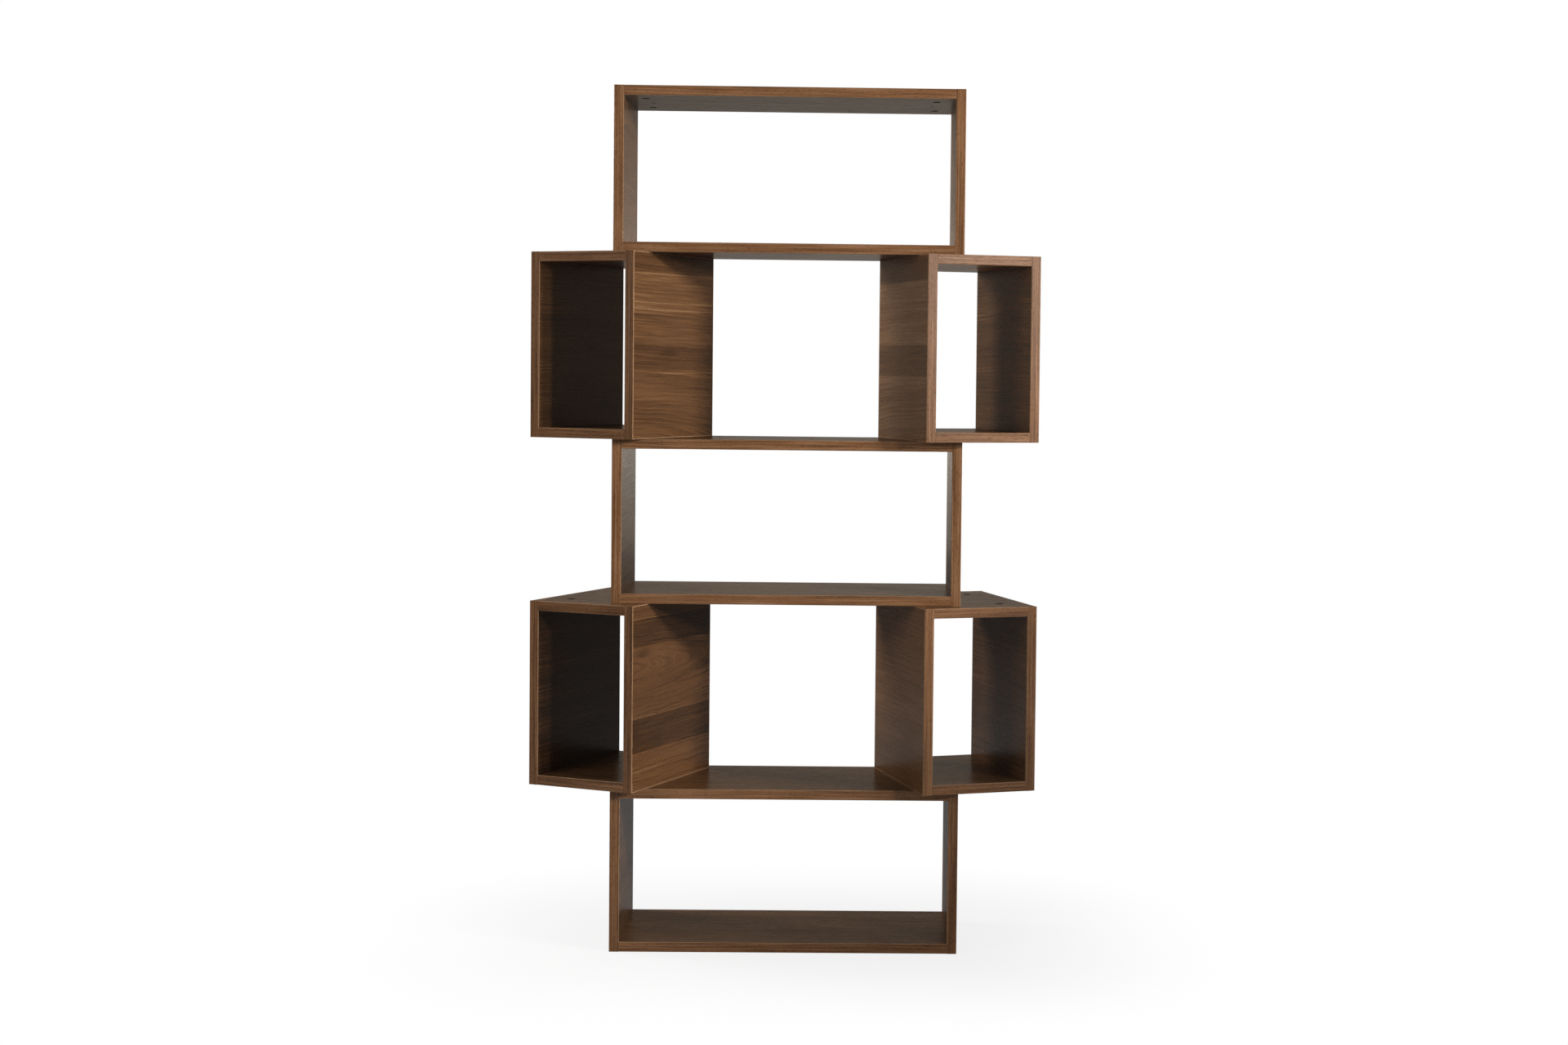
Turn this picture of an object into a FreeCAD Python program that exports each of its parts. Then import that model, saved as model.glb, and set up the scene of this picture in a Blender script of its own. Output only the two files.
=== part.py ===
"""Zigzag bookshelf: three wide open boxes with a turned pair of tall open boxes between each two.

Millimetres, +Z up, front towards -Y.  The origin lies on the floor under the middle of the wide boxes.
"""
import FreeCAD
import Part
import os

Vector = FreeCAD.Vector
UP = Vector(0, 0, 1)

# Boards and their edge bands
BOARD = 18.0
BAND = 2.0
BAND_ROUND = 1.2

# Wide boxes, outside sizes
WIDE_WIDTH = 636.0
WIDE_DEPTH = 252.0
WIDE_HEIGHT = 300.0
WIDE_CAM_EDGE = 56.0

# Tall boxes, outside sizes
TALL_WIDTH = 216.0
TALL_DEPTH = 300.0
TALL_HEIGHT = 339.0
TALL_CAM_EDGE = 60.0

# Angle of each tall box about its pivot, in degrees, fronts outwards
LOWER_LEFT_ANGLE_DEG = 23.8
LOWER_RIGHT_ANGLE_DEG = 16.8
UPPER_LEFT_ANGLE_DEG = 24.5
UPPER_RIGHT_ANGLE_DEG = 16.5

# Place of the pivots: from the wide box's end, and from the tall box's inner side and rear edge
PIVOT_FROM_WIDE_END = 60.0
PIVOT_FROM_TALL_SIDE = 56.0
PIVOT_FROM_TALL_REAR = 135.0

# Pivot bolts and the threaded inserts that hold them
PIVOT_DIA = 7.0
PIVOT_CLEARANCE = 0.06
PIVOT_HEAD_DIA = 17.0
PIVOT_HEAD_THICK = 2.0
PIVOT_SOCKET = 4.0
PIVOT_SOCKET_DEEP = 3.0
INSERT_DIA = 11.0
INSERT_LENGTH = 13.0
INSERT_TIP_ROOM = 1.0

# Cam locks and their bolts
CAM_DIA = 15.0
CAM_HEIGHT = 12.2
CAM_SUNK = 1.2
CAM_FROM_END = 34.0
CAM_CROSS_LONG = 9.0
CAM_CROSS_WIDE = 1.8
CAM_CROSS_DEEP = 3.0
CAM_POCKET = 7.2
CAM_POCKET_PAST = 3.0
BOLT_SHANK_DIA = 6.8
BOLT_THREAD_DIA = 5.6
BOLT_THREAD_LONG = 11.0
BOLT_NECK_DIA = 4.4
BOLT_NECK_LONG = 6.5
BOLT_HEAD_DIA = 6.4
BOLT_HEAD_LONG = 4.0
BOLT_HEAD_PAST = 1.5

# Wood dowels, one in the middle of each corner joint
DOWEL_DIA = 8.0
DOWEL_IN_PANEL = 19.0
DOWEL_IN_SIDE = 10.0
DOWEL_BEVEL = 0.8

# Room round fittings in their holes, on the radius, and past their ends
HOLE_CLEARANCE = 0.08
END_ROOM = 0.5


def block(x0, x1, y0, y1, z0, z1):
    return Part.makeBox(x1 - x0, y1 - y0, z1 - z0, Vector(x0, y0, z0))


def rod(dia, start, axis, length):
    return Part.makeCylinder(dia / 2, length, start, axis)


def hole(dia, start, axis, length):
    return rod(dia + 2 * HOLE_CLEARANCE, start, axis, length)


def edge_band(strip, out):
    """Round the two long arrises on the side of a strip that faces out."""
    face = max(v.Point.dot(out) for v in strip.Vertexes)
    outer = [e for e in strip.Edges if min(v.Point.dot(out) for v in e.Vertexes) > face - 0.001]
    longest = max(e.Length for e in outer)
    arrises = [e for e in outer if e.Length > longest - 0.001]
    return strip.makeFillet(BAND_ROUND, arrises)


def box_bands(width, depth, height):
    """Bands on the front and rear edges of all four panels and on both ends of the sides."""
    inner = width / 2 - BOARD
    core = depth / 2 - BAND
    bands = []
    for s in (-1, 1):
        out = Vector(0, s, 0)
        y0, y1 = sorted((s * core, s * depth / 2))
        for x0 in (-width / 2, inner):
            bands.append(edge_band(block(x0, x0 + BOARD, y0, y1, 0, height), out))
        for z0 in (0, height - BOARD):
            bands.append(edge_band(block(-inner, inner, y0, y1, z0, z0 + BOARD), out))
    for z0, out in ((0, -UP), (height - BAND, UP)):
        for x0 in (-width / 2, inner):
            bands.append(edge_band(block(x0, x0 + BOARD, -core, core, z0, z0 + BAND), out))
    return bands


def cam_bolt(root, inward):
    """Bolt screwed into the side panel, its head in the middle of the cam lock."""
    head_start = CAM_FROM_END + BOLT_HEAD_PAST - BOLT_HEAD_LONG
    neck_start = head_start - BOLT_NECK_LONG
    thread = rod(BOLT_THREAD_DIA, root - inward * BOLT_THREAD_LONG, inward, BOLT_THREAD_LONG)
    shank = rod(BOLT_SHANK_DIA, root, inward, neck_start)
    neck = rod(BOLT_NECK_DIA, root + inward * neck_start, inward, BOLT_NECK_LONG)
    head = rod(BOLT_HEAD_DIA, root + inward * head_start, inward, BOLT_HEAD_LONG)
    return thread.fuse([shank, neck, head]).removeSplitter()


def cam_lock(root, inward, face):
    """Round cam sunk in the panel, with a driver cross and a pocket for the bolt's head."""
    centre = root + inward * CAM_FROM_END
    top = centre + face * (BOARD / 2 - CAM_SUNK)
    cam = rod(CAM_DIA, top, -face, CAM_HEIGHT)
    half_long = CAM_CROSS_LONG / 2
    half_wide = CAM_CROSS_WIDE / 2
    floor, roof = sorted((top.z, (top - face * CAM_CROSS_DEEP).z))
    for dx, dy in ((half_long, half_wide), (half_wide, half_long)):
        cam = cam.cut(block(top.x - dx, top.x + dx, top.y - dy, top.y + dy, floor, roof))
    start = centre - inward * CAM_DIA
    end = centre + inward * CAM_POCKET_PAST
    x0, x1 = sorted((start.x, end.x))
    half = CAM_POCKET / 2
    return cam.cut(block(x0, x1, centre.y - half, centre.y + half, centre.z - half, centre.z + half))


def cam_joint(parts, panel, side, root, inward, face):
    """Bore the two boards for one cam lock and its bolt and add both fittings."""
    centre = root + inward * CAM_FROM_END
    bore = hole(CAM_DIA, centre + face * BOARD / 2, -face, CAM_SUNK + CAM_HEIGHT)
    passage = hole(BOLT_SHANK_DIA, root, inward, CAM_FROM_END)
    parts[panel] = parts[panel].cut([bore, passage])
    parts[side] = parts[side].cut(hole(BOLT_THREAD_DIA, root, -inward, BOLT_THREAD_LONG + END_ROOM))
    parts["cam_locks"].append(cam_lock(root, inward, face))
    parts["cam_bolts"].append(cam_bolt(root, inward))


def dowel_joint(parts, panel, side, root, inward):
    """Bore the two boards for one wood dowel and add it, its ends bevelled."""
    parts[panel] = parts[panel].cut(hole(DOWEL_DIA, root, inward, DOWEL_IN_PANEL + END_ROOM))
    parts[side] = parts[side].cut(hole(DOWEL_DIA, root, -inward, DOWEL_IN_SIDE + END_ROOM))
    dowel = rod(DOWEL_DIA, root - inward * DOWEL_IN_SIDE, inward, DOWEL_IN_SIDE + DOWEL_IN_PANEL)
    rims = [e for e in dowel.Edges if e.isClosed()]
    parts["dowels"].append(dowel.makeChamfer(DOWEL_BEVEL, rims))


def pivot_bolt(seat):
    """Low flat-headed bolt pointing up, its head's upper side at the seat."""
    head = rod(PIVOT_HEAD_DIA, seat - UP * PIVOT_HEAD_THICK, UP, PIVOT_HEAD_THICK)
    shank = rod(PIVOT_DIA, seat, UP, BOARD + INSERT_LENGTH - INSERT_TIP_ROOM)
    radius = PIVOT_SOCKET / 3 ** 0.5
    corner = Vector(radius, 0, 0)
    turns = [FreeCAD.Rotation(UP, 60 * i) for i in range(7)]
    hexagon = Part.makePolygon([seat - UP * PIVOT_HEAD_THICK + turn.multVec(corner) for turn in turns])
    socket = Part.Face(hexagon).extrude(UP * PIVOT_SOCKET_DEEP)
    return head.fuse(shank).removeSplitter().cut(socket)


def hang_pivot(parts, spot):
    """Set a threaded insert into the underside of the bottom panel, with its bolt from the box below."""
    parts["bottom"] = parts["bottom"].cut(hole(INSERT_DIA, spot, UP, INSERT_LENGTH))
    thread = rod(PIVOT_DIA + 2 * PIVOT_CLEARANCE, spot, UP, INSERT_LENGTH)
    parts["pivot_inserts"].append(rod(INSERT_DIA, spot, UP, INSERT_LENGTH).cut(thread))
    parts["pivot_bolts"].append(pivot_bolt(spot - UP * BOARD))


def open_box(width, depth, height, cam_edge, top_face, spots, hung):
    """One open box about its own floor centre; spots are its pivots, hung adds bolts below them."""
    inner = width / 2 - BOARD
    core = depth / 2 - BAND
    parts = {
        "left_side": block(-width / 2, -inner, -core, core, BAND, height - BAND),
        "right_side": block(inner, width / 2, -core, core, BAND, height - BAND),
        "bottom": block(-inner, inner, -core, core, 0, BOARD),
        "top": block(-inner, inner, -core, core, height - BOARD, height),
        "edge_bands": box_bands(width, depth, height),
    }
    for name in ("cam_locks", "cam_bolts", "dowels", "pivot_bolts", "pivot_inserts"):
        parts[name] = []
    cam_row = depth / 2 - cam_edge
    for panel, z, face in (("bottom", BOARD / 2, -UP), ("top", height - BOARD / 2, top_face)):
        for side, s in (("left_side", -1), ("right_side", 1)):
            inward = Vector(-s, 0, 0)
            for y in (-cam_row, cam_row):
                cam_joint(parts, panel, side, Vector(s * inner, y, z), inward, face)
            dowel_joint(parts, panel, side, Vector(s * inner, 0, z), inward)
    for spot in spots:
        passage = rod(PIVOT_DIA + 2 * PIVOT_CLEARANCE, spot + UP * (height - BOARD), UP, BOARD)
        parts["top"] = parts["top"].cut(passage)
        if hung:
            hang_pivot(parts, spot)
    return parts


def save(name, shapes):
    Part.makeCompound(shapes).exportStep(os.path.join("parts", name + ".step"))


PANELS = ("left_side", "right_side", "top", "bottom")
FITTINGS = ("edge_bands", "cam_locks", "cam_bolts", "dowels", "pivot_bolts", "pivot_inserts")
PIVOT_X = WIDE_WIDTH / 2 - PIVOT_FROM_WIDE_END
TIER = WIDE_HEIGHT + TALL_HEIGHT


def build_wide_boxes():
    """Three wide boxes; their panels are nodes of their own, like fittings share one node."""
    spots = [Vector(-PIVOT_X, 0, 0), Vector(PIVOT_X, 0, 0)]
    shared = {name: [] for name in FITTINGS}
    for tier, level in enumerate(("lower", "middle", "upper")):
        parts = open_box(WIDE_WIDTH, WIDE_DEPTH, WIDE_HEIGHT, WIDE_CAM_EDGE, -UP, spots, tier > 0)
        place = FreeCAD.Placement(UP * (tier * TIER), FreeCAD.Rotation())
        for panel in PANELS:
            save(level + "_wide_" + panel, [parts[panel].transformed(place.toMatrix())])
        for name in FITTINGS:
            shared[name] += [shape.transformed(place.toMatrix()) for shape in parts[name]]
    for name in FITTINGS:
        save("wide_" + name, shared[name])


def build_tall_box(name, s, level, turn):
    """One tall box on side s, turned about its pivot over the wide box below."""
    spot = Vector(-s * (TALL_WIDTH / 2 - PIVOT_FROM_TALL_SIDE), TALL_DEPTH / 2 - PIVOT_FROM_TALL_REAR, 0)
    parts = open_box(TALL_WIDTH, TALL_DEPTH, TALL_HEIGHT, TALL_CAM_EDGE, UP, [spot], True)
    pivot = Vector(s * PIVOT_X, 0, WIDE_HEIGHT + level * TIER)
    turned = FreeCAD.Placement(pivot, FreeCAD.Rotation(UP, s * turn))
    place = turned.multiply(FreeCAD.Placement(-spot, FreeCAD.Rotation()))
    for part, shapes in parts.items():
        group = shapes if isinstance(shapes, list) else [shapes]
        save(name + "_" + part, [shape.transformed(place.toMatrix()) for shape in group])


os.makedirs("parts", exist_ok=True)
build_wide_boxes()
build_tall_box("lower_left_tall", -1, 0, LOWER_LEFT_ANGLE_DEG)
build_tall_box("lower_right_tall", 1, 0, LOWER_RIGHT_ANGLE_DEG)
build_tall_box("upper_left_tall", -1, 1, UPPER_LEFT_ANGLE_DEG)
build_tall_box("upper_right_tall", 1, 1, UPPER_RIGHT_ANGLE_DEG)
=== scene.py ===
import math

import bpy
from mathutils import Matrix, Vector


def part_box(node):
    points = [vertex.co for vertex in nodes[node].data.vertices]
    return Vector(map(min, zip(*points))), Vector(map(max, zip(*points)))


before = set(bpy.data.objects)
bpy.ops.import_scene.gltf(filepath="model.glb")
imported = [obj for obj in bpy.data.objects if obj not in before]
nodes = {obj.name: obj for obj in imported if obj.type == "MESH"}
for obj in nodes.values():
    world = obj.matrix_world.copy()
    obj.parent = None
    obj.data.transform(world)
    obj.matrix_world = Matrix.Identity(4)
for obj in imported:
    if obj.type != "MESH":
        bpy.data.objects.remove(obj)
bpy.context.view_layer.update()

WIDE_BOXES = ("lower_wide", "middle_wide", "upper_wide")
TALL_BOXES = ("lower_left_tall", "lower_right_tall", "upper_left_tall", "upper_right_tall")
PANELS = ("left_side", "right_side", "top", "bottom")
MM_PER_METRE = 1000.0
# A face counts as looking along an axis when its normal has more than this share of it.
SQUARE_ON = 0.5


class Flow:
    """A value, colour or vector on its way through a material's nodes, with plain arithmetic."""

    def __init__(self, tree, socket=None):
        self.tree = tree
        self.socket = socket

    def node(self, kind, settings, inputs, output=0):
        """Any node: its settings first, ramp stops among them, then the values or links of its sockets."""
        made = self.tree.nodes.new(kind)
        for name, value in settings.items():
            if name == "stops":
                stops = made.color_ramp.elements
                while len(stops) < len(value):
                    stops.new(1.0)
                for stop, (place, colour) in zip(stops, value):
                    stop.position = place
                    stop.color = (*colour, 1.0)
            else:
                setattr(made, name, value)
        for key, value in inputs.items():
            if isinstance(value, Flow):
                self.tree.links.new(value.socket, made.inputs[key])
            else:
                made.inputs[key].default_value = value
        return Flow(self.tree, made.outputs[output])

    def math(self, operation, *values):
        return self.node("ShaderNodeMath", {"operation": operation}, dict(enumerate(values)))

    def __add__(self, other):
        return self.math("ADD", self, other)

    def __radd__(self, other):
        return self.math("ADD", other, self)

    def __sub__(self, other):
        return self.math("SUBTRACT", self, other)

    def __rsub__(self, other):
        return self.math("SUBTRACT", other, self)

    def __mul__(self, other):
        return self.math("MULTIPLY", self, other)

    def __rmul__(self, other):
        return self.math("MULTIPLY", other, self)

    def __truediv__(self, other):
        return self.math("DIVIDE", self, other)

    def __rtruediv__(self, other):
        return self.math("DIVIDE", other, self)

    def __abs__(self):
        return self.math("ABSOLUTE", self)

    def root(self):
        return self.math("SQRT", self)

    def most(self, other):
        return self.math("MAXIMUM", self, other)

    def over(self, limit):
        """1 above the limit and 0 below it."""
        return self.math("GREATER_THAN", self, limit)

    def saw(self):
        """Rises from 0 to 1 in every unit and drops back."""
        return self.math("FRACT", self)

    def swing(self):
        """A noise taken from its middle, so that it goes both ways."""
        return self - 0.5

    def ease(self, low, high):
        """0 below low, 1 above high, smooth between."""
        return self.node(
            "ShaderNodeMapRange",
            {"interpolation_type": "SMOOTHSTEP"},
            {"Value": self, "From Min": low, "From Max": high},
        )

    def parts(self):
        """The three values in a vector."""
        return [self.node("ShaderNodeSeparateXYZ", {}, {"Vector": self}, axis) for axis in range(3)]

    def noise(self, x, y, z, detail=0.0, rough=0.5):
        """Noise from 0 to 1 at a point given by three values."""
        point = self.node("ShaderNodeCombineXYZ", {}, {"X": x, "Y": y, "Z": z})
        return self.node(
            "ShaderNodeTexNoise",
            {"noise_dimensions": "3D"},
            {"Vector": point, "Scale": 1.0, "Detail": detail, "Roughness": rough},
        )

    def tones(self, stops):
        """The colour at this value on a ramp."""
        return self.node("ShaderNodeValToRGB", {"stops": stops}, {"Fac": self})

    def tint(self, first, second):
        """first where this value is 0, second where it is 1."""
        first, second = [c if isinstance(c, Flow) else (*c, 1.0) for c in (first, second)]
        return self.node("ShaderNodeMix", {"data_type": "RGBA"}, {0: self, 6: first, 7: second}, 2)


def new_material(name):
    """An empty material, a Flow to start its nodes from, and its shader."""
    material = bpy.data.materials.new(name)
    material.use_nodes = True
    tree = material.node_tree
    return material, Flow(tree), tree.nodes["Principled BSDF"]


def finish_shader(flow, shader, colour, rough, height, bump_mm, **constants):
    """Feeds colour, roughness and a bump, bump_mm deep for a height of 1, and sets the constants."""
    bump = flow.node(
        "ShaderNodeBump",
        {},
        {"Height": height, "Distance": bump_mm / MM_PER_METRE, "Strength": 1.0},
    )
    for key, value in (("Base Color", colour), ("Roughness", rough), ("Normal", bump)):
        flow.tree.links.new(value.socket, shader.inputs[key])
    for key, value in constants.items():
        shader.inputs[key.replace("_", " ")].default_value = value


def grain_layer(flow, along, across, cut, steps, detail, shift=0.0, rough=0.5, shows=None):
    """One layer of a printed grain from 0 to 1: a noise, or what shows of it between two levels."""
    steps_along, steps_across = steps
    noise = flow.noise(along * steps_along, across * steps_across, cut + shift, detail, rough)
    return noise.ease(*shows) if shows else noise


class Seat:
    """Where a box stands: its middle on its underside, its turn about the vertical and its size."""

    def __init__(self, box):
        sides = [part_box(f"{box}_{side}_side") for side in ("left", "right")]
        low = [min(s[0][i] for s in sides) for i in range(3)]
        high = [max(s[1][i] for s in sides) for i in range(3)]
        self.centre = Vector(((low[0] + high[0]) / 2, (low[1] + high[1]) / 2, low[2]))
        panel = nodes[f"{box}_left_side"].data
        broad = max(panel.polygons, key=lambda face: face.area * (abs(face.normal.z) < SQUARE_ON))
        self.turn = math.atan(broad.normal.y / broad.normal.x)
        own = Matrix.Rotation(-self.turn, 3, "Z")
        spots = [own @ (v.co - self.centre) for v in panel.vertices]
        self.width = 2 * max(abs(p.x) for p in spots)
        self.depth = 2 * max(abs(p.y) for p in spots)
        self.height = high[2] - low[2]
        self.board = max(p.x for p in spots) - min(p.x for p in spots)

    def front_corner(self, side, height):
        """A point at a height above or below the box's left (-1) or right (1) front corner."""
        corner = Vector((side * self.width / 2, -self.depth / 2, 0.0))
        return Vector((self.centre.x, self.centre.y, height)) + Matrix.Rotation(self.turn, 3, "Z") @ corner

    def own_place(self, flow):
        """Across, front to rear and height, in metres, in the box's own axes."""
        spot = flow.node("ShaderNodeTexCoord", {}, {}, "Object")
        return flow.node(
            "ShaderNodeMapping",
            {"vector_type": "TEXTURE"},
            {"Vector": spot, "Location": self.centre, "Rotation": (0.0, 0.0, self.turn)},
        ).parts()

    def own_facing(self, flow):
        """Which way a face looks, in the box's own axes."""
        facing = flow.node("ShaderNodeTexCoord", {}, {}, "Normal")
        return flow.node(
            "ShaderNodeVectorRotate",
            {"rotation_type": "Z_AXIS"},
            {"Vector": facing, "Angle": -self.turn},
        ).parts()


seats = {box: Seat(box) for box in WIDE_BOXES + TALL_BOXES}
BOARD = seats["lower_wide"].board

# Walnut print on the panels
WALNUT = (
    (0.00, (0.024, 0.0120, 0.0070)),
    (0.25, (0.064, 0.0295, 0.0125)),
    (0.50, (0.122, 0.0560, 0.0225)),
    (0.75, (0.195, 0.0920, 0.0375)),
    (1.00, (0.320, 0.1720, 0.0840)),
)
# Steps are noise steps per metre, along the grain and across it.
WALNUT_LAYERS = {
    "sway": dict(steps=(3.0, 4.0), detail=1.0),
    "ripple": dict(steps=(20.0, 30.0), detail=1.0, shift=5.0),
    "fine": dict(steps=(6.0, 300.0), detail=4.0, rough=0.7),
    "broad": dict(steps=(1.3, 26.0), detail=2.0, shift=11.0),
    "spacing": dict(steps=(1.2, 40.0), detail=1.0, shift=71.0),
    "drawn": dict(steps=(5.0, 45.0), detail=1.0, shift=83.0, shows=(0.38, 0.62)),
    "pale": dict(steps=(2.5, 130.0), detail=1.0, shift=23.0, shows=(0.64, 0.72)),
    "dusk": dict(steps=(3.0, 150.0), detail=1.0, shift=61.0, shows=(0.62, 0.72)),
    "pore": dict(steps=(60.0, 1400.0), detail=1.0, shift=31.0, shows=(0.56, 0.72)),
    "smoke": dict(steps=(8.0, 14.0), detail=3.0, shift=47.0, shows=(0.55, 0.75)),
}
# How far each layer moves the tone
WALNUT_SHARES = dict(fine=0.9, broad=0.45, year=0.28, pale=0.12, dusk=0.10, pore=0.12, smoke=0.10)
# Metres that the grain lines and the plank borders sway
GRAIN_SWAY = 0.010
PLANK_SWAY = 0.004
YEARS_PER_METRE = 150.0
YEAR_SPACING = 5.0
YEAR_RAGGED = 0.5
# Noise steps per metre through a board, so that its two faces differ
CUT_STEPS = 60.0
WALNUT_ROUGH = 0.28
WALNUT_ROUGHER = dict(fine=0.14, pore=0.08, smoke=0.03, core_shade=0.55)
WALNUT_BUMP_MM = 0.025
# The board's core, on the bore walls and the panel ends: set nearly black as a painted shade for the dark
# holes, mottled between two shades.
CORE_SHADE_DARK = (0.012, 0.008, 0.005)
CORE_SHADE_PALE = (0.050, 0.034, 0.020)
CHIP_STEPS = 700.0
# A smoke spot is full up to the first share of its reach and gone at the second.
SMOKE_FADE = (0.2, 1.0)


def print_and_shade_profile(planks_and_shade, lines, edge=0.003, half=0.0035):
    """Ramp stops for a side's tone from its top (0) to its foot (1): stretches, each a printed plank or a
    painted shade, and thin pale lines.
    """
    first_tone, later_planks = planks_and_shade[0][1], planks_and_shade[1:]
    places = {0.0, 1.0}
    for start, _ in later_planks:
        places |= {start - edge, start + edge}
    for middle, _ in lines:
        places |= {middle - half, middle, middle + half}
    stops = []
    for place in sorted(places):
        tone = first_tone
        for start, plank_tone in later_planks:
            tone += (plank_tone - tone) * min(max((place - start + edge) / (2 * edge), 0.0), 1.0)
        tone += sum(lift * max(0.0, 1.0 - abs(place - middle) / half) for middle, lift in lines)
        stops.append((place, (tone, tone, tone)))
    return stops


# The rings run round a heart, at a place across the grain; opening and flare spread them along it.
PLAIN_FIGURE = dict(heart=-0.35, opening=0.02, flare=0.25, ripple=0.003, contrast=1.0, profile=None, smoke=())
# A smoke spot is its place along and across the grain, its reach along and across, and its strength.
FIGURES = {
    # Darker down to 0.10 at the top: a painted shade under the upper wide box.
    "upper_left_tall_right_side": dict(
        heart=-0.02,
        opening=0.03,
        flare=0.12,
        profile=print_and_shade_profile(
            ((0.0, 0.45), (0.10, 0.70), (0.31, 0.61), (0.50, 0.43), (0.58, 0.46), (0.63, 0.60), (0.80, 0.56)),
            ((0.11, 0.34), (0.165, 0.2), (0.265, 0.45), (0.305, 0.42), (0.455, 0.24), (0.65, 0.36)),
        ),
        smoke=((-0.03, 0.155, 0.07, 0.009, 0.16),),
    ),
    # Darker down to 0.13 at the top: a painted shade under the upper wide box.
    "upper_right_tall_left_side": dict(
        heart=-0.02,
        opening=0.03,
        flare=0.12,
        contrast=0.8,
        profile=print_and_shade_profile(
            ((0.0, 0.58), (0.13, 0.86), (0.48, 0.60), (0.655, 0.82)),
            ((0.24, 0.3), (0.285, 0.3), (0.657, 0.3)),
        ),
    ),
    "lower_left_tall_right_side": dict(
        heart=0.222,
        opening=0.022,
        flare=0.10,
        ripple=0.008,
        contrast=0.95,
        profile=print_and_shade_profile(
            ((0.0, 0.50), (0.075, 0.29), (0.225, 0.58), (0.36, 0.50), (0.61, 0.26), (0.80, 0.62)),
            ((0.074, 0.45), (0.365, 0.2), (0.608, 0.5), (0.802, 0.34), (0.9, 0.24)),
        ),
        smoke=((-0.11, 0.247, 0.04, 0.014, 0.22),),
    ),
    # Only a smooth slope, darker towards the foot.
    "lower_right_tall_left_side": dict(
        contrast=0.6,
        profile=print_and_shade_profile(((0.0, 0.79), (0.80, 0.62)), (), edge=0.18),
    ),
}
# Tones of the panels without a profile; one that isn't listed has the plain tone. Partly painted light and
# shade: most sides that show inside the lower and middle boxes are darker as painted shade, the right sides
# inside the upper boxes lighter as painted light, and the upper right tall box's top lighter as a painted
# sheen on its ceiling.
PLAIN_TONE = 0.50
PANEL_TONES_AND_PAINTED_LIGHT = {
    "upper_wide_right_side": 0.60,
    "upper_right_tall_right_side": 0.56,
    "upper_right_tall_top": 0.86,
    "middle_wide_left_side": 0.14,
    "middle_wide_right_side": 0.36,
    "lower_wide_left_side": 0.38,
    "lower_wide_right_side": 0.52,
    "lower_wide_bottom": 0.58,
    "lower_wide_top": 0.55,
    "lower_left_tall_left_side": 0.25,
    "lower_right_tall_right_side": 0.43,
}


def walnut_board(panel, box, seed):
    """Printed walnut on one panel: grain front to rear on the sides, along the width on tops and bottoms."""
    seat = seats[box]
    figure = {**PLAIN_FIGURE, **FIGURES.get(panel, {})}
    material, flow, shader = new_material(f"walnut_{panel}")
    across_box, rearward, height = seat.own_place(flow)
    facing_across, _, facing_up = seat.own_facing(flow)
    if panel.endswith("_side"):
        along, across, deep, broad_face = rearward, height, across_box, abs(facing_across)
    else:
        along, across, deep, broad_face = across_box, rearward, height, abs(facing_up)
    cut = deep * CUT_STEPS + seed

    def layer(name, over):
        return grain_layer(flow, along, over, cut, **WALNUT_LAYERS[name])

    sway = layer("sway", across).swing()
    line = across + sway * GRAIN_SWAY + layer("ripple", across).swing() * figure["ripple"]
    from_heart = line - figure["heart"]
    mouth = along * figure["flare"] + figure["opening"]
    ring = (from_heart * from_heart + mouth * mouth).root()
    fine = layer("fine", ring)
    pore = layer("pore", ring)
    smoke = layer("smoke", across)
    year = (ring * YEARS_PER_METRE + layer("spacing", ring) * YEAR_SPACING + fine.swing() * YEAR_RAGGED).saw()

    share = WALNUT_SHARES
    years = (0.5 - year) * layer("drawn", ring) * share["year"]
    pales = layer("pale", ring) * share["pale"] - layer("dusk", ring) * share["dusk"]
    lines = fine.swing() * share["fine"] + years + pales - pore * share["pore"]
    grain = layer("broad", ring).swing() * share["broad"] + lines - smoke * share["smoke"]
    if figure["profile"]:
        drop = 1.0 - (across + sway * PLANK_SWAY) / seat.height
        base = drop.tones(figure["profile"])
    else:
        base = PANEL_TONES_AND_PAINTED_LIGHT.get(panel, PLAIN_TONE)
    tone = grain * figure["contrast"] + base
    for spot_along, spot_across, reach_along, reach_across, strength in figure["smoke"]:
        near_along = (along - spot_along) / reach_along
        near_across = (line - spot_across) / reach_across
        away = (near_along * near_along + near_across * near_across).root().ease(*SMOKE_FADE)
        tone = tone - (1.0 - away) * strength

    # Faces across the board, the bore walls among them, take the core's painted shade.
    crumb = flow.noise(across_box * CHIP_STEPS, rearward * CHIP_STEPS, height * CHIP_STEPS, 2.0)
    core_shade = crumb.tint(CORE_SHADE_DARK, CORE_SHADE_PALE)
    printed = broad_face.over(SQUARE_ON)
    colour = printed.tint(core_shade, tone.tones(WALNUT))
    rougher = WALNUT_ROUGHER
    rough = WALNUT_ROUGH + fine.swing() * rougher["fine"] + pore * rougher["pore"]
    rough = rough + smoke * rougher["smoke"] + (1.0 - printed) * rougher["core_shade"]
    finish_shader(flow, shader, colour, rough, fine * 0.5 - pore, WALNUT_BUMP_MM)
    return material


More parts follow.
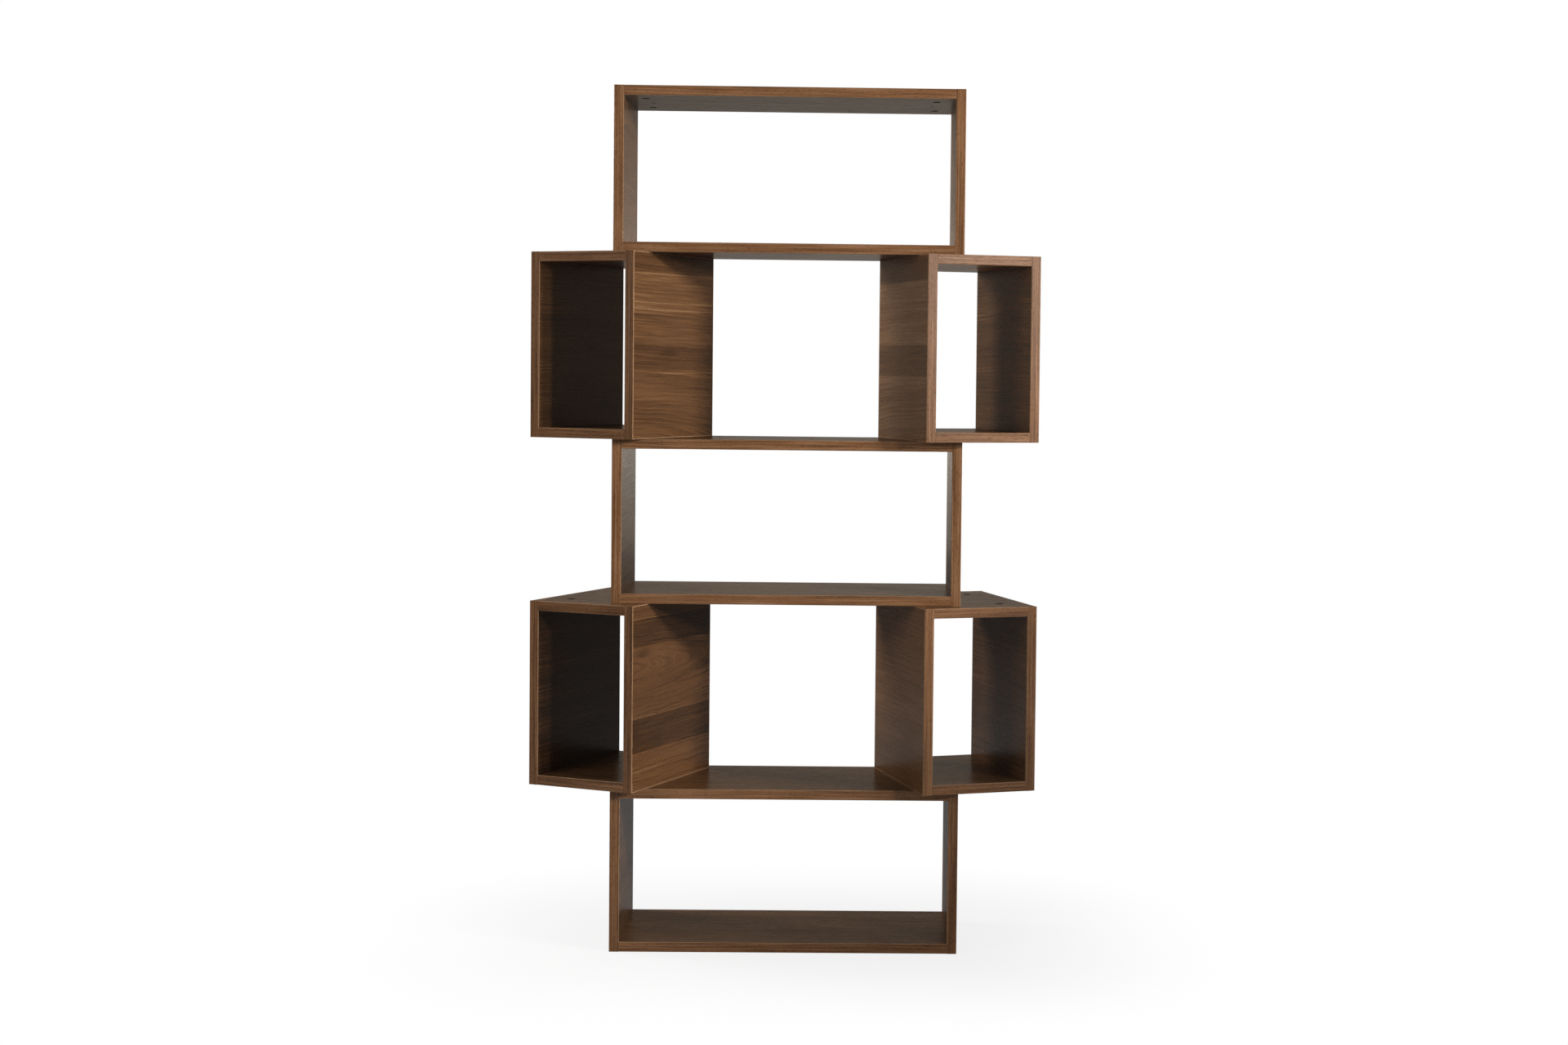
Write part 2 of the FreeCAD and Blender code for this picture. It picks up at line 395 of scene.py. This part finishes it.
# Edge bands
BAND_PRINT = (
    (0.00, (0.060, 0.0270, 0.0130)),
    (0.40, (0.170, 0.0770, 0.0320)),
    (0.65, (0.245, 0.1140, 0.0480)),
    (1.00, (0.370, 0.1950, 0.1000)),
)
BAND_LAYERS = {
    "sway": dict(steps=(6.0, 20.0), detail=1.0),
    "streak": dict(steps=(5.0, 330.0), detail=3.0, shift=5.0, rough=0.6),
    "dash": dict(steps=(130.0, 800.0), detail=1.0, shift=9.0, shows=(0.56, 0.70)),
    "patch": dict(steps=(9.0, 45.0), detail=2.0, shift=17.0),
    "worn": dict(steps=(25.0, 200.0), detail=2.0, shift=29.0),
}
BAND_TONES = {
    "wide": 0.675,
    "lower_left_tall": 0.545,
    "lower_right_tall": 0.615,
    "upper_left_tall": 0.575,
    "upper_right_tall": 0.585,
}
BAND_SHARES = dict(streak=1.9, patch=0.5, dash=0.36, end=0.10)
BAND_SWAY = 0.004
BAND_ROUGH = 0.32
BAND_ROUGHER = dict(end=-0.04, streak=0.15, dash=0.06)
BAND_BUMP_MM = 0.04
# Shifts of the noise, so that upright bands and end bands have a grain of their own
UPRIGHT_SHIFT = 3.7
END_SHIFT = 5.3
BARE_BROWN = (0.30, 0.165, 0.085)
BARE_PALE = (0.46, 0.28, 0.16)
# A band's arris turns into its flat between these shares of its normal.
ARRIS_TO_FLAT = (0.86, 0.95)
# Metres inside a panel's depth, where its end bands are told from the flanks of the front and rear bands
END_MARGIN = 0.0005


def edge_band(group, box, seed):
    """Straight grain along every band, with paler arrises and flanks where its body shows."""
    seat = seats[box]
    material, flow, shader = new_material(f"band_{group}")
    across_box, rearward, height = seat.own_place(flow)
    _, facing_front, facing_up = [abs(part) for part in seat.own_facing(flow)]
    on_end = facing_up.ease(*ARRIS_TO_FLAT) * (seat.depth / 2 - END_MARGIN - abs(rearward)).over(0.0)
    on_front = facing_front.ease(*ARRIS_TO_FLAT)
    upright = abs(across_box).over(seat.width / 2 - BOARD)
    level = (1.0 - upright) * (1.0 - on_end)
    standing = upright * (1.0 - on_end)
    along = level * across_box + standing * height + on_end * rearward
    side_step = level * height + (1.0 - level) * across_box
    cut = upright * UPRIGHT_SHIFT + on_end * END_SHIFT + seed

    def layer(name, over):
        return grain_layer(flow, along, over, cut, **BAND_LAYERS[name])

    strip = side_step + layer("sway", side_step).swing() * BAND_SWAY
    streak = layer("streak", strip)
    dash = layer("dash", strip)
    share = BAND_SHARES
    grain = streak.swing() * share["streak"] + layer("patch", strip).swing() * share["patch"]
    tone = BAND_TONES[group] + grain - dash * share["dash"] - on_end * share["end"]
    bare = layer("worn", strip).tint(BARE_BROWN, BARE_PALE)
    colour = on_front.most(on_end).tint(bare, tone.tones(BAND_PRINT))
    rougher = BAND_ROUGHER
    rough = BAND_ROUGH + on_end * rougher["end"] + streak.swing() * rougher["streak"] + dash * rougher["dash"]
    finish_shader(flow, shader, colour, rough, streak * 0.5 - dash, BAND_BUMP_MM)
    return material


# Fittings, with noise steps per metre along the three axes
MOTTLE_STEPS = (420.0, 420.0, 420.0)
SCUFF_STEPS = (1900.0, 160.0, 900.0)
PLATED_BUMP_MM = 0.02
BEECH = ((0.2, (0.40, 0.23, 0.12)), (0.8, (0.66, 0.45, 0.27)))
BEECH_STEPS = (30.0, 700.0, 700.0)
FLECK_STEPS = (260.0, 2200.0, 2200.0)
BEECH_ROUGH = 0.6
BEECH_BUMP_MM = 0.05


def speckle(flow, steps, detail, rough=0.5, shift=0.0):
    """Noise over a fitting, from its place in the shelf."""
    x, y, z = flow.node("ShaderNodeTexCoord", {}, {}, "Object").parts()
    return flow.noise(x * steps[0], y * steps[1], z * steps[2] + shift, detail, rough)


def plated(name, colour, dull, rough, seed):
    """A plated metal fitting, mottled and a little scuffed."""
    material, flow, shader = new_material(name)
    mottle = speckle(flow, MOTTLE_STEPS, 3.0, 0.6, shift=seed)
    scuff = speckle(flow, SCUFF_STEPS, 2.0, shift=seed).ease(0.55, 0.75)
    finish_shader(
        flow,
        shader,
        mottle.ease(0.3, 0.7).tint(dull, colour),
        rough + mottle.swing() * 0.25 + scuff * 0.12,
        mottle * 0.4 - scuff,
        PLATED_BUMP_MM,
        Metallic=1.0,
    )
    return material


def dowel_beech():
    """Beech with its grain across the shelf, about along the dowels."""
    material, flow, shader = new_material("dowel_beech")
    grain = speckle(flow, BEECH_STEPS, 3.0, 0.6)
    fleck = speckle(flow, FLECK_STEPS, 1.0).ease(0.58, 0.7)
    colour = (grain * 0.8 + 0.1 - fleck * 0.2).tones(BEECH)
    finish_shader(flow, shader, colour, BEECH_ROUGH + grain.swing() * 0.2, grain - fleck, BEECH_BUMP_MM)
    return material


def dress(node, material):
    """Gives a CAD piece its finish."""
    nodes[node].data.materials.clear()
    nodes[node].data.materials.append(material)


fittings = {
    # The cams' zinc is nearly black, a painted shade for the holes they sit in.
    "cam_locks": plated("cam_zinc", (0.075, 0.075, 0.078), (0.03, 0.03, 0.032), 0.46, 2.0),
    "cam_bolts": plated("bolt_steel", (0.62, 0.61, 0.60), (0.42, 0.41, 0.40), 0.30, 5.0),
    "pivot_bolts": plated("pivot_steel", (0.10, 0.10, 0.105), (0.045, 0.045, 0.05), 0.34, 8.0),
    "pivot_inserts": plated("insert_brass", (0.78, 0.57, 0.27), (0.52, 0.36, 0.17), 0.32, 11.0),
    "dowels": dowel_beech(),
}

# Shifts of the noise from box to box, panel to panel and band group to band group
BOX_SHIFT = 7.3
PANEL_SHIFT = 1.9
BAND_SHIFT = 4.1

for number, box in enumerate(WIDE_BOXES + TALL_BOXES):
    for step, board in enumerate(PANELS):
        panel = f"{box}_{board}"
        dress(panel, walnut_board(panel, box, number * BOX_SHIFT + step * PANEL_SHIFT))

for number, group in enumerate(("wide",) + TALL_BOXES):
    box = "lower_wide" if group == "wide" else group
    dress(f"{group}_edge_bands", edge_band(group, box, number * BAND_SHIFT))
    for fitting, material in fittings.items():
        dress(f"{group}_{fitting}", material)

# Room, floor, lamps and camera
FILL = 0.147
WHITE = (1.0, 1.0, 1.0)
GLOSS_TINT = (1.0, 0.87, 0.73)
# The gloss sees the room darker by this share, which sets in between these slopes above and below level.
GLOSS_DIM = 0.75
DIM_SLOPES = (0.1, 0.3)
# The bright patch behind the shelf: half width and half heights as shares of a direction, and strengths
PATCH_WIDE = 0.31
PATCH_TALL = 0.16
PATCH_GLOW = 0.70
SKYLINE_TALL = 0.07
SKYLINE_GLOW = 1.2

FLOOR_REACH = 9.0
FLOOR_SEEN = ((0.80, 0.795, 0.79), (0.86, 0.855, 0.85))
FLOOR_LIGHTING = ((0.35, 0.34, 0.33), (0.40, 0.39, 0.38))
FLOOR_STEPS = 30.0
FLOOR_ROUGH = 0.85
FLOOR_BUMP_MM = 0.1
SHADOW_REACH = 0.55
GLOW_AT_FOOT = 0.84

WARM = (1.0, 0.975, 0.94)
KEY_DISTANCE = 3.5
KEY_HEIGHT = 1.85
# The key's beam ends on a slant through these points at the front of the shelf.
BEAM_EDGE = (
    seats["lower_right_tall"].front_corner(1, 0.617),
    seats["lower_right_tall"].front_corner(-1, 0.364),
    seats["lower_wide"].front_corner(-1, -0.107),
)
# The key's three lamps: azimuth in degrees, and how much lower the beam ends, in metres
KEY_BANK = ((57.5, 0.0), (60.5, 0.004), (63.5, 0.035))

IMAGE_WIDTH_PX = 1920.0
IMAGE_HEIGHT_PX = 1280.0
SENSOR_MM = 36.0
FOCAL_PX = 2755.7
MIDDLE_X_PX = 1103.6
MIDDLE_Y_PX = 556.8
CAMERA_PLACE = (0.1401, -4.2128, 1.0664)
CAMERA_YAW = math.radians(0.940)
CAMERA_PITCH = math.radians(-2.115)
CAMERA_ROLL = math.radians(0.628)


def studio():
    """A dim soft room that the camera sees as white, with a brighter patch behind the shelf in its gloss."""
    world = bpy.data.worlds.new("studio")
    bpy.context.scene.world = world
    world.use_nodes = True
    flow = Flow(world.node_tree)
    camera_ray, glass_ray, gloss_ray = [
        flow.node("ShaderNodeLightPath", {}, {}, f"Is {ray} Ray")
        for ray in ("Camera", "Transmission", "Glossy")
    ]
    x, y, z = flow.node("ShaderNodeTexCoord", {}, {}, "Generated").parts()

    def glow(tall):
        return 1.0 - (x * x / PATCH_WIDE**2 + z * z / tall**2).root().ease(0.0, 1.0)

    patch = glow(PATCH_TALL) * PATCH_GLOW + glow(SKYLINE_TALL) * SKYLINE_GLOW
    backdrop = gloss_ray * y.over(0.0) * patch
    dim = gloss_ray * abs(z).ease(*DIM_SLOPES) * GLOSS_DIM
    strength = FILL * (1.0 - dim) + camera_ray.most(glass_ray) * (1.0 - FILL) + backdrop
    colour = gloss_ray.tint(WHITE, GLOSS_TINT)
    background = world.node_tree.nodes["Background"]
    world.node_tree.links.new(colour.socket, background.inputs["Color"])
    world.node_tree.links.new(strength.socket, background.inputs["Strength"])


def pale_floor():
    """A pale floor, greyer round the shelf in a painted shade that also holds the lamps' shadow, going over
    into the white room further out.
    """
    mesh = bpy.data.meshes.new("floor")
    ways = ((-1, -1), (1, -1), (1, 1), (-1, 1))
    mesh.from_pydata([(x * FLOOR_REACH, y * FLOOR_REACH, 0.0) for x, y in ways], [], [(0, 1, 2, 3)])
    floor = bpy.data.objects.new("floor", mesh)
    bpy.context.scene.collection.objects.link(floor)
    material, flow, shader = new_material("pale_floor")
    x, y, _ = flow.node("ShaderNodeTexCoord", {}, {}, "Object").parts()
    foot = seats["lower_wide"]
    beside = (abs(x) - foot.width / 2).most(0.0)
    before = (abs(y) - foot.depth / 2).most(0.0)
    far = (beside * beside + before * before).root().ease(0.0, SHADOW_REACH)
    mottle = flow.noise(x * FLOOR_STEPS, y * FLOOR_STEPS, 0.0, 3.0)
    camera_ray = flow.node("ShaderNodeLightPath", {}, {}, "Is Camera Ray")
    pale = camera_ray.tint(mottle.tint(*FLOOR_LIGHTING), mottle.tint(*FLOOR_SEEN))
    rough = FLOOR_ROUGH + mottle * 0.1
    finish_shader(flow, shader, pale, rough, mottle, FLOOR_BUMP_MM, Specular_IOR_Level=0.0)
    glow = flow.node("ShaderNodeEmission", {}, {"Color": (*WHITE, 1.0), "Strength": 1.0})
    # Near the foot less of the white glow is mixed in, so the floor there is greyer even in full light: a
    # painted shade.
    share = camera_ray * (GLOW_AT_FOOT + far * (1.0 - GLOW_AT_FOOT))
    mixed = flow.node("ShaderNodeMixShader", {}, {0: share, 1: Flow(flow.tree, shader.outputs[0]), 2: glow})
    flow.tree.links.new(mixed.socket, flow.tree.nodes["Material Output"].inputs["Surface"])
    floor.data.materials.append(material)


def lamp_place(azimuth, distance, height):
    """A place at an azimuth from the front towards the right, in degrees."""
    turn = math.radians(azimuth)
    return Vector((distance * math.sin(turn), -distance * math.cos(turn), height))


def beam_through(place, edge):
    """The aim and the cone of a spot at a place whose beam ends on three points."""
    first, second, third = [(point - place).normalized() for point in edge]
    axis = (first - second).cross(second - third).normalized()
    if axis.dot(first) < 0.0:
        axis = -axis
    return place + axis, 2 * math.acos(axis.dot(first))


def hang_lamp(name, kind, place, aim, watts, in_gloss=True, in_diffuse=True, **settings):
    """A lamp at a place that looks at aim."""
    light = bpy.data.lights.new(name, kind)
    light.energy = watts
    for key, value in settings.items():
        setattr(light, key, value)
    holder = bpy.data.objects.new(name, light)
    holder.location = place
    holder.rotation_euler = (Vector(aim) - holder.location).to_track_quat("-Z", "Y").to_euler()
    holder.visible_glossy = in_gloss
    holder.visible_diffuse = in_diffuse
    bpy.context.scene.collection.objects.link(holder)


def hang_disk(name, place, aim, watts, size, **seen):
    """A round soft lamp."""
    hang_lamp(name, "AREA", place, aim, watts, shape="DISK", size=size, **seen)


def light_shelf():
    """A warm key whose beam ends on the lower right tall box, a weaker lamp, and soft fill and sheen."""
    for number, (azimuth, lower) in enumerate(KEY_BANK):
        place = lamp_place(azimuth, KEY_DISTANCE, KEY_HEIGHT)
        aim, cone = beam_through(place, [point - Vector((0.0, 0.0, lower)) for point in BEAM_EDGE])
        hang_lamp(
            f"key_lamp_{number}",
            "SPOT",
            place,
            aim,
            watts=128.0,
            in_gloss=False,
            shadow_soft_size=0.16,
            spot_size=cone,
            spot_blend=0.03,
            color=WARM,
        )
    hang_lamp(
        "near_lamp",
        "POINT",
        lamp_place(azimuth=48.0, distance=4.0, height=1.6),
        aim=(0.0, 0.0, 1.0),
        watts=146.0,
        in_gloss=False,
        shadow_soft_size=0.15,
        color=WARM,
    )
    hang_disk(
        "edge_lamp",
        lamp_place(azimuth=39.0, distance=3.5, height=1.6),
        aim=(0.3, 0.0, 1.1),
        watts=18.0,
        size=1.2,
        in_diffuse=False,
    )
    hang_disk(
        "fill_lamp",
        lamp_place(azimuth=-50.0, distance=2.8, height=1.7),
        aim=(0.0, 0.0, 1.1),
        watts=16.0,
        size=1.2,
        in_gloss=False,
    )
    hang_disk(
        "side_lamp",
        lamp_place(azimuth=-107.0, distance=2.4, height=1.8),
        aim=(0.0, 0.0, 1.6),
        watts=37.0,
        size=0.9,
    )
    hang_disk(
        "back_lamp",
        lamp_place(azimuth=180.0, distance=3.5, height=1.0),
        aim=(0.0, 0.0, 0.9),
        watts=18.0,
        size=1.4,
        in_gloss=False,
    )


def photo_camera():
    """The camera of the photograph, found from the corners of the boxes."""
    level = math.cos(CAMERA_PITCH)
    ahead = Vector((math.sin(CAMERA_YAW) * level, math.cos(CAMERA_YAW) * level, math.sin(CAMERA_PITCH)))
    right = Vector((math.cos(CAMERA_YAW), -math.sin(CAMERA_YAW), 0.0))
    up = right.cross(ahead)
    across = math.cos(CAMERA_ROLL) * right + math.sin(CAMERA_ROLL) * up
    upright = math.cos(CAMERA_ROLL) * up - math.sin(CAMERA_ROLL) * right
    camera = bpy.data.cameras.new("photo_camera")
    camera.sensor_fit = "HORIZONTAL"
    camera.sensor_width = SENSOR_MM
    camera.lens = SENSOR_MM * FOCAL_PX / IMAGE_WIDTH_PX
    camera.shift_x = (IMAGE_WIDTH_PX / 2 - MIDDLE_X_PX) / IMAGE_WIDTH_PX
    camera.shift_y = (MIDDLE_Y_PX - IMAGE_HEIGHT_PX / 2) / IMAGE_WIDTH_PX
    holder = bpy.data.objects.new("photo_camera", camera)
    looking = Matrix((across, upright, -ahead)).transposed().to_4x4()
    holder.matrix_world = Matrix.Translation(CAMERA_PLACE) @ looking
    bpy.context.scene.collection.objects.link(holder)
    bpy.context.scene.camera = holder


bpy.context.scene.view_settings.view_transform = "Standard"
studio()
pale_floor()
light_shelf()
photo_camera()
